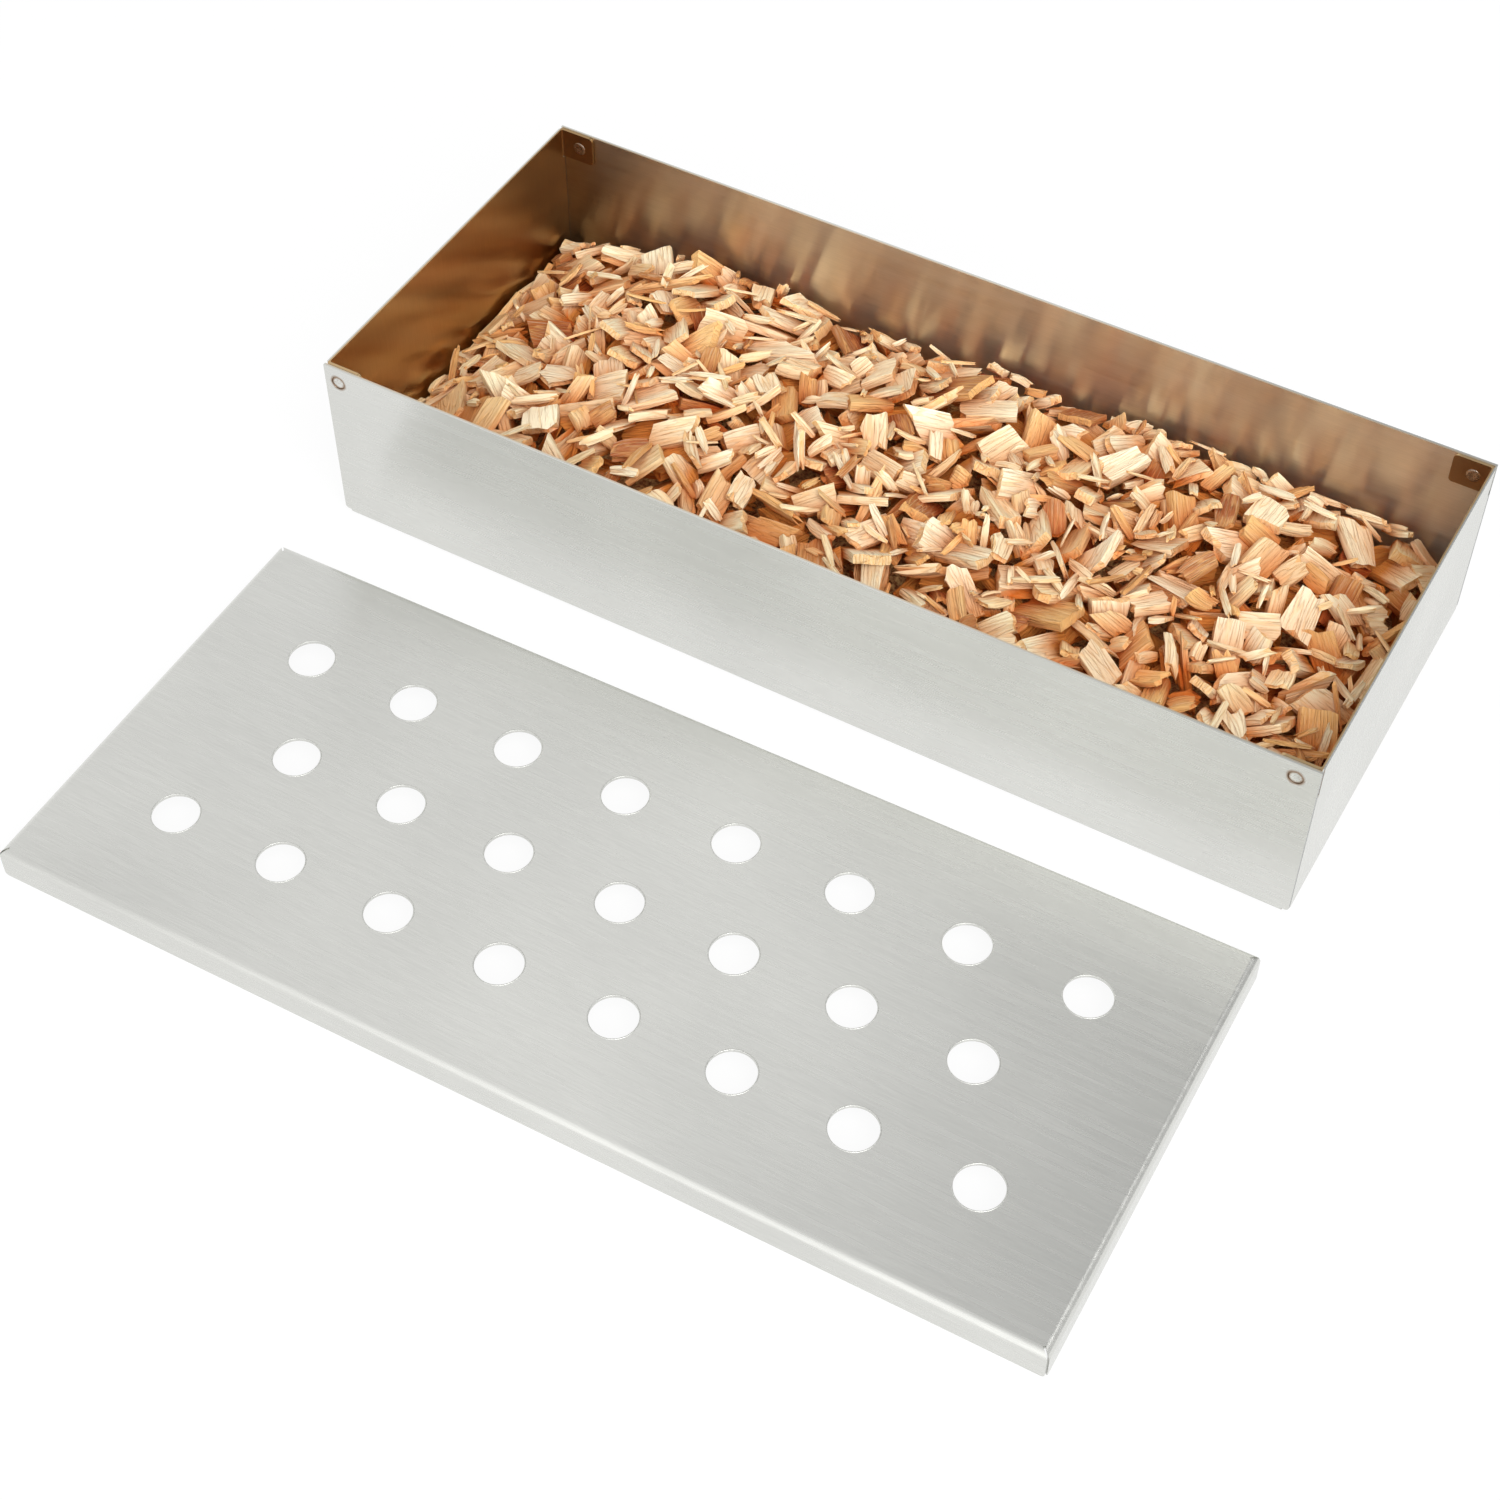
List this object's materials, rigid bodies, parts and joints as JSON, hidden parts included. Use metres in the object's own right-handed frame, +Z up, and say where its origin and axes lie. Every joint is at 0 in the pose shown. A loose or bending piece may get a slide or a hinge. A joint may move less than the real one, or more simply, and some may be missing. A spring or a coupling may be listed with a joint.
{
  "type": "grill smoker box",
  "caption": "Long folded sheet-steel tray heaped with wood smoking chips, its slip-over lid with rows of round smoke holes laid in front of it.",
  "frame": {"origin": "centre of the tray's flat underside", "axes": "+X along the tray's length to the right, +Y across it to the back, away from the lid that lies in front, +Z up"},
  "size_m": [0.2342, 0.2156, 0.0445],
  "materials": {
    "tray_steel": "fine brushed stainless sheet, grain along the length",
    "weld_steel": "spot weld with a faint brown heat ring",
    "lid_steel": "fine brushed stainless sheet, grain along the length",
    "packed_wood": "raw chipped hardwood in shadow",
    "pale_wood": "raw split wood with visible fibres",
    "golden_wood": "raw split wood with visible fibres",
    "bark_wood": "rough bark side of a wood chip"
  },
  "bodies": {
    "tray": {"tray": "tray_steel", "spot_welds": "weld_steel"},
    "lid": {"lid": "lid_steel"},
    "wood_chips": {"packed_chips": "packed_wood", "block_chips": "pale_wood", "flake_chips": "pale_wood", "sliver_chips": "golden_wood", "bark_chips": "bark_wood"}
  },
  "joints": [
    {"name": "lid_lift", "type": "slide", "parent": "tray", "child": "lid", "axis": [0, 0, 1], "range_m": [0, 0.08]},
    {"name": "chips_lift", "type": "slide", "parent": "tray", "child": "wood_chips", "axis": [0, 0, 1], "range_m": [0, 0.06]}
  ]
}
